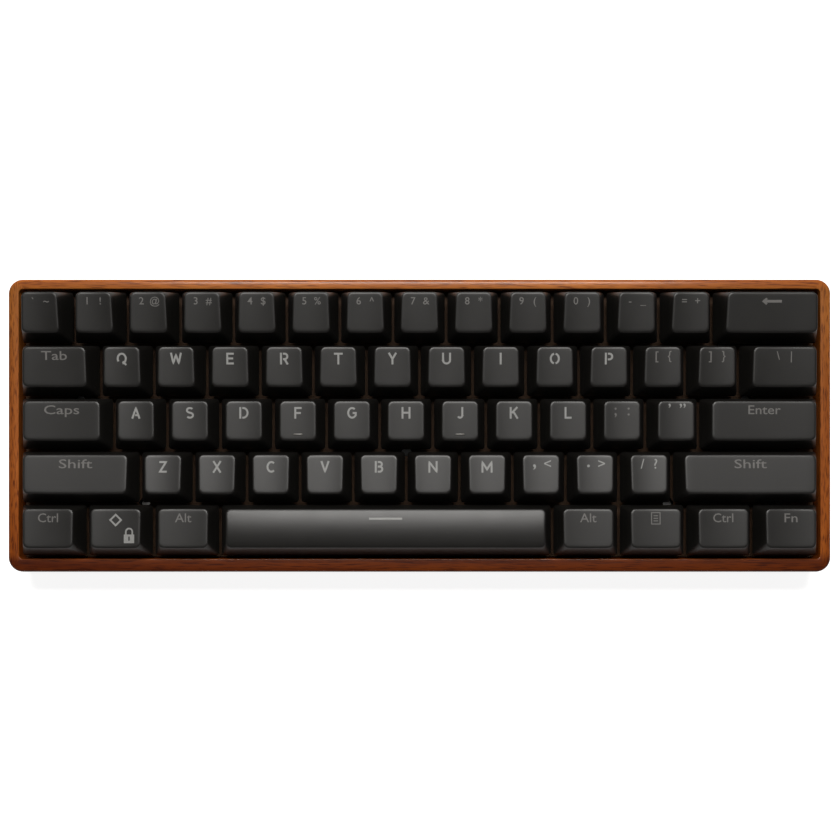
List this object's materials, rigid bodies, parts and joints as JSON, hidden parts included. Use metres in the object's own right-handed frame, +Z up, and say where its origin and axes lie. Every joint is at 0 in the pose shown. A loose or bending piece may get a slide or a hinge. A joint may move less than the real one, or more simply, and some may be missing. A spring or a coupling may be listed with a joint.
{
  "type": "mechanical keyboard",
  "caption": "Compact mechanical keyboard with sprung keys on a metal plate, in a wedge-shaped wooden tray case with a cable socket at the back.",
  "frame": {"origin": "on the desk, under the middle of the case", "axes": "+X to the right along the rows, +Y to the back, +Z up"},
  "size_m": [0.295, 0.107, 0.0409],
  "materials": {
    "walnut": "oiled hardwood with long grain",
    "foot_rubber": "plain moulded rubber",
    "board": "black solder mask on glass fibre board",
    "socket_steel": "plated pressed shell",
    "chip_plastic": "moulded epoxy",
    "screw_steel": "zinc plated",
    "plate_paint": "brown powder coat",
    "housing_plastic": "moulded nylon",
    "wire_steel": "drawn spring wire",
    "keycap_plastic": "fine matt moulded texture"
  },
  "bodies": {
    "keyboard_base": {"case": "walnut", "rubber_feet": "foot_rubber", "circuit_board": "board", "usb_socket": "socket_steel", "controller_chip": "chip_plastic", "case_screws": "screw_steel", "switch_plate": "plate_paint", "switch_bottoms": "housing_plastic", "switch_tops": "housing_plastic", "stabiliser_holders": "housing_plastic"},
    "key_backspace": {"key_backspace": "keycap_plastic"},
    "key_tab": {"key_tab": "keycap_plastic"},
    "key_q": {"key_q": "keycap_plastic"},
    "key_w": {"key_w": "keycap_plastic"},
    "key_e": {"key_e": "keycap_plastic"},
    "key_r": {"key_r": "keycap_plastic"},
    "key_t": {"key_t": "keycap_plastic"},
    "key_y": {"key_y": "keycap_plastic"},
    "key_u": {"key_u": "keycap_plastic"},
    "key_i": {"key_i": "keycap_plastic"},
    "key_o": {"key_o": "keycap_plastic"},
    "key_p": {"key_p": "keycap_plastic"},
    "key_left_bracket": {"key_left_bracket": "keycap_plastic"},
    "key_right_bracket": {"key_right_bracket": "keycap_plastic"},
    "key_backslash": {"key_backslash": "keycap_plastic"},
    "key_caps_lock": {"key_caps_lock": "keycap_plastic"},
    "key_a": {"key_a": "keycap_plastic"},
    "key_s": {"key_s": "keycap_plastic"},
    "key_d": {"key_d": "keycap_plastic"},
    "key_f": {"key_f": "keycap_plastic"},
    "key_g": {"key_g": "keycap_plastic"},
    "key_h": {"key_h": "keycap_plastic"},
    "key_j": {"key_j": "keycap_plastic"},
    "key_k": {"key_k": "keycap_plastic"},
    "key_l": {"key_l": "keycap_plastic"},
    "key_semicolon": {"key_semicolon": "keycap_plastic"},
    "key_quote": {"key_quote": "keycap_plastic"},
    "key_enter": {"key_enter": "keycap_plastic"},
    "key_left_shift": {"key_left_shift": "keycap_plastic"},
    "key_z": {"key_z": "keycap_plastic"},
    "key_x": {"key_x": "keycap_plastic"},
    "key_c": {"key_c": "keycap_plastic"},
    "key_v": {"key_v": "keycap_plastic"},
    "key_b": {"key_b": "keycap_plastic"},
    "key_n": {"key_n": "keycap_plastic"},
    "key_m": {"key_m": "keycap_plastic"},
    "key_comma": {"key_comma": "keycap_plastic"},
    "key_full_stop": {"key_full_stop": "keycap_plastic"},
    "key_slash": {"key_slash": "keycap_plastic"},
    "key_right_shift": {"key_right_shift": "keycap_plastic"},
    "key_space": {"key_space": "keycap_plastic"},
    "number_keys_left": {"number_keys_left": "keycap_plastic"},
    "number_keys_right": {"number_keys_right": "keycap_plastic"},
    "left_modifier_keys": {"left_modifier_keys": "keycap_plastic"},
    "right_modifier_keys": {"right_modifier_keys": "keycap_plastic"},
    "backspace_wire": {"backspace_wire": "wire_steel"},
    "enter_wire": {"enter_wire": "wire_steel"},
    "left_shift_wire": {"left_shift_wire": "wire_steel"},
    "right_shift_wire": {"right_shift_wire": "wire_steel"},
    "space_wire": {"space_wire": "wire_steel"}
  },
  "joints": [
    {"name": "backspace_press", "type": "slide", "parent": "keyboard_base", "child": "key_backspace", "axis": [0, 0.0872, -0.9962], "range_m": [0, 0.004], "stiffness_N_per_m": 112.5, "springref_m": -0.0027},
    {"name": "tab_press", "type": "slide", "parent": "keyboard_base", "child": "key_tab", "axis": [0, 0.0872, -0.9962], "range_m": [0, 0.004], "stiffness_N_per_m": 112.5, "springref_m": -0.0027},
    {"name": "q_press", "type": "slide", "parent": "keyboard_base", "child": "key_q", "axis": [0, 0.0872, -0.9962], "range_m": [0, 0.004], "stiffness_N_per_m": 112.5, "springref_m": -0.0027},
    {"name": "w_press", "type": "slide", "parent": "keyboard_base", "child": "key_w", "axis": [0, 0.0872, -0.9962], "range_m": [0, 0.004], "stiffness_N_per_m": 112.5, "springref_m": -0.0027},
    {"name": "e_press", "type": "slide", "parent": "keyboard_base", "child": "key_e", "axis": [0, 0.0872, -0.9962], "range_m": [0, 0.004], "stiffness_N_per_m": 112.5, "springref_m": -0.0027},
    {"name": "r_press", "type": "slide", "parent": "keyboard_base", "child": "key_r", "axis": [0, 0.0872, -0.9962], "range_m": [0, 0.004], "stiffness_N_per_m": 112.5, "springref_m": -0.0027},
    {"name": "t_press", "type": "slide", "parent": "keyboard_base", "child": "key_t", "axis": [0, 0.0872, -0.9962], "range_m": [0, 0.004], "stiffness_N_per_m": 112.5, "springref_m": -0.0027},
    {"name": "y_press", "type": "slide", "parent": "keyboard_base", "child": "key_y", "axis": [0, 0.0872, -0.9962], "range_m": [0, 0.004], "stiffness_N_per_m": 112.5, "springref_m": -0.0027},
    {"name": "u_press", "type": "slide", "parent": "keyboard_base", "child": "key_u", "axis": [0, 0.0872, -0.9962], "range_m": [0, 0.004], "stiffness_N_per_m": 112.5, "springref_m": -0.0027},
    {"name": "i_press", "type": "slide", "parent": "keyboard_base", "child": "key_i", "axis": [0, 0.0872, -0.9962], "range_m": [0, 0.004], "stiffness_N_per_m": 112.5, "springref_m": -0.0027},
    {"name": "o_press", "type": "slide", "parent": "keyboard_base", "child": "key_o", "axis": [0, 0.0872, -0.9962], "range_m": [0, 0.004], "stiffness_N_per_m": 112.5, "springref_m": -0.0027},
    {"name": "p_press", "type": "slide", "parent": "keyboard_base", "child": "key_p", "axis": [0, 0.0872, -0.9962], "range_m": [0, 0.004], "stiffness_N_per_m": 112.5, "springref_m": -0.0027},
    {"name": "left_bracket_press", "type": "slide", "parent": "keyboard_base", "child": "key_left_bracket", "axis": [0, 0.0872, -0.9962], "range_m": [0, 0.004], "stiffness_N_per_m": 112.5, "springref_m": -0.0027},
    {"name": "right_bracket_press", "type": "slide", "parent": "keyboard_base", "child": "key_right_bracket", "axis": [0, 0.0872, -0.9962], "range_m": [0, 0.004], "stiffness_N_per_m": 112.5, "springref_m": -0.0027},
    {"name": "backslash_press", "type": "slide", "parent": "keyboard_base", "child": "key_backslash", "axis": [0, 0.0872, -0.9962], "range_m": [0, 0.004], "stiffness_N_per_m": 112.5, "springref_m": -0.0027},
    {"name": "caps_lock_press", "type": "slide", "parent": "keyboard_base", "child": "key_caps_lock", "axis": [0, 0.0872, -0.9962], "range_m": [0, 0.004], "stiffness_N_per_m": 112.5, "springref_m": -0.0027},
    {"name": "a_press", "type": "slide", "parent": "keyboard_base", "child": "key_a", "axis": [0, 0.0872, -0.9962], "range_m": [0, 0.004], "stiffness_N_per_m": 112.5, "springref_m": -0.0027},
    {"name": "s_press", "type": "slide", "parent": "keyboard_base", "child": "key_s", "axis": [0, 0.0872, -0.9962], "range_m": [0, 0.004], "stiffness_N_per_m": 112.5, "springref_m": -0.0027},
    {"name": "d_press", "type": "slide", "parent": "keyboard_base", "child": "key_d", "axis": [0, 0.0872, -0.9962], "range_m": [0, 0.004], "stiffness_N_per_m": 112.5, "springref_m": -0.0027},
    {"name": "f_press", "type": "slide", "parent": "keyboard_base", "child": "key_f", "axis": [0, 0.0872, -0.9962], "range_m": [0, 0.004], "stiffness_N_per_m": 112.5, "springref_m": -0.0027},
    {"name": "g_press", "type": "slide", "parent": "keyboard_base", "child": "key_g", "axis": [0, 0.0872, -0.9962], "range_m": [0, 0.004], "stiffness_N_per_m": 112.5, "springref_m": -0.0027},
    {"name": "h_press", "type": "slide", "parent": "keyboard_base", "child": "key_h", "axis": [0, 0.0872, -0.9962], "range_m": [0, 0.004], "stiffness_N_per_m": 112.5, "springref_m": -0.0027},
    {"name": "j_press", "type": "slide", "parent": "keyboard_base", "child": "key_j", "axis": [0, 0.0872, -0.9962], "range_m": [0, 0.004], "stiffness_N_per_m": 112.5, "springref_m": -0.0027},
    {"name": "k_press", "type": "slide", "parent": "keyboard_base", "child": "key_k", "axis": [0, 0.0872, -0.9962], "range_m": [0, 0.004], "stiffness_N_per_m": 112.5, "springref_m": -0.0027},
    {"name": "l_press", "type": "slide", "parent": "keyboard_base", "child": "key_l", "axis": [0, 0.0872, -0.9962], "range_m": [0, 0.004], "stiffness_N_per_m": 112.5, "springref_m": -0.0027},
    {"name": "semicolon_press", "type": "slide", "parent": "keyboard_base", "child": "key_semicolon", "axis": [0, 0.0872, -0.9962], "range_m": [0, 0.004], "stiffness_N_per_m": 112.5, "springref_m": -0.0027},
    {"name": "quote_press", "type": "slide", "parent": "keyboard_base", "child": "key_quote", "axis": [0, 0.0872, -0.9962], "range_m": [0, 0.004], "stiffness_N_per_m": 112.5, "springref_m": -0.0027},
    {"name": "enter_press", "type": "slide", "parent": "keyboard_base", "child": "key_enter", "axis": [0, 0.0872, -0.9962], "range_m": [0, 0.004], "stiffness_N_per_m": 112.5, "springref_m": -0.0027},
    {"name": "left_shift_press", "type": "slide", "parent": "keyboard_base", "child": "key_left_shift", "axis": [0, 0.0872, -0.9962], "range_m": [0, 0.004], "stiffness_N_per_m": 112.5, "springref_m": -0.0027},
    {"name": "z_press", "type": "slide", "parent": "keyboard_base", "child": "key_z", "axis": [0, 0.0872, -0.9962], "range_m": [0, 0.004], "stiffness_N_per_m": 112.5, "springref_m": -0.0027},
    {"name": "x_press", "type": "slide", "parent": "keyboard_base", "child": "key_x", "axis": [0, 0.0872, -0.9962], "range_m": [0, 0.004], "stiffness_N_per_m": 112.5, "springref_m": -0.0027},
    {"name": "c_press", "type": "slide", "parent": "keyboard_base", "child": "key_c", "axis": [0, 0.0872, -0.9962], "range_m": [0, 0.004], "stiffness_N_per_m": 112.5, "springref_m": -0.0027},
    {"name": "v_press", "type": "slide", "parent": "keyboard_base", "child": "key_v", "axis": [0, 0.0872, -0.9962], "range_m": [0, 0.004], "stiffness_N_per_m": 112.5, "springref_m": -0.0027},
    {"name": "b_press", "type": "slide", "parent": "keyboard_base", "child": "key_b", "axis": [0, 0.0872, -0.9962], "range_m": [0, 0.004], "stiffness_N_per_m": 112.5, "springref_m": -0.0027},
    {"name": "n_press", "type": "slide", "parent": "keyboard_base", "child": "key_n", "axis": [0, 0.0872, -0.9962], "range_m": [0, 0.004], "stiffness_N_per_m": 112.5, "springref_m": -0.0027},
    {"name": "m_press", "type": "slide", "parent": "keyboard_base", "child": "key_m", "axis": [0, 0.0872, -0.9962], "range_m": [0, 0.004], "stiffness_N_per_m": 112.5, "springref_m": -0.0027},
    {"name": "comma_press", "type": "slide", "parent": "keyboard_base", "child": "key_comma", "axis": [0, 0.0872, -0.9962], "range_m": [0, 0.004], "stiffness_N_per_m": 112.5, "springref_m": -0.0027},
    {"name": "full_stop_press", "type": "slide", "parent": "keyboard_base", "child": "key_full_stop", "axis": [0, 0.0872, -0.9962], "range_m": [0, 0.004], "stiffness_N_per_m": 112.5, "springref_m": -0.0027},
    {"name": "slash_press", "type": "slide", "parent": "keyboard_base", "child": "key_slash", "axis": [0, 0.0872, -0.9962], "range_m": [0, 0.004], "stiffness_N_per_m": 112.5, "springref_m": -0.0027},
    {"name": "right_shift_press", "type": "slide", "parent": "keyboard_base", "child": "key_right_shift", "axis": [0, 0.0872, -0.9962], "range_m": [0, 0.004], "stiffness_N_per_m": 112.5, "springref_m": -0.0027},
    {"name": "space_press", "type": "slide", "parent": "keyboard_base", "child": "key_space", "axis": [0, 0.0872, -0.9962], "range_m": [0, 0.004], "stiffness_N_per_m": 112.5, "springref_m": -0.0027},
    {"name": "number_keys_left_press", "type": "slide", "parent": "keyboard_base", "child": "number_keys_left", "axis": [0, 0.0872, -0.9962], "range_m": [0, 0.004], "stiffness_N_per_m": 787.5, "springref_m": -0.0027},
    {"name": "number_keys_right_press", "type": "slide", "parent": "keyboard_base", "child": "number_keys_right", "axis": [0, 0.0872, -0.9962], "range_m": [0, 0.004], "stiffness_N_per_m": 675, "springref_m": -0.0027},
    {"name": "left_modifier_keys_press", "type": "slide", "parent": "keyboard_base", "child": "left_modifier_keys", "axis": [0, 0.0872, -0.9962], "range_m": [0, 0.004], "stiffness_N_per_m": 337.5, "springref_m": -0.0027},
    {"name": "right_modifier_keys_press", "type": "slide", "parent": "keyboard_base", "child": "right_modifier_keys", "axis": [0, 0.0872, -0.9962], "range_m": [0, 0.004], "stiffness_N_per_m": 450, "springref_m": -0.0027},
    {"name": "backspace_wire_turn", "type": "hinge", "parent": "keyboard_base", "child": "backspace_wire", "pos_m": [0.12383, 0.02935, 0.023], "axis": [-1, 0, 0], "range_deg": [0, 28.64]},
    {"name": "enter_wire_turn", "type": "hinge", "parent": "keyboard_base", "child": "enter_wire", "pos_m": [0.12144, -0.00861, 0.01968], "axis": [-1, 0, 0], "range_deg": [0, 28.64]},
    {"name": "left_shift_wire_turn", "type": "hinge", "parent": "keyboard_base", "child": "left_shift_wire", "pos_m": [-0.12144, -0.02758, 0.01802], "axis": [-1, 0, 0], "range_deg": [0, 28.64]},
    {"name": "right_shift_wire_turn", "type": "hinge", "parent": "keyboard_base", "child": "right_shift_wire", "pos_m": [0.11668, -0.02758, 0.01802], "axis": [-1, 0, 0], "range_deg": [0, 28.64]},
    {"name": "space_wire_turn", "type": "hinge", "parent": "keyboard_base", "child": "space_wire", "pos_m": [-0.01191, -0.04656, 0.01636], "axis": [-1, 0, 0], "range_deg": [0, 28.64]}
  ],
  "couplings": [
    {"joint": "backspace_wire_turn", "follows": "backspace_press", "rad_per_m": 124.75},
    {"joint": "enter_wire_turn", "follows": "enter_press", "rad_per_m": 124.75},
    {"joint": "left_shift_wire_turn", "follows": "left_shift_press", "rad_per_m": 124.75},
    {"joint": "right_shift_wire_turn", "follows": "right_shift_press", "rad_per_m": 124.75},
    {"joint": "space_wire_turn", "follows": "space_press", "rad_per_m": 124.75}
  ]
}
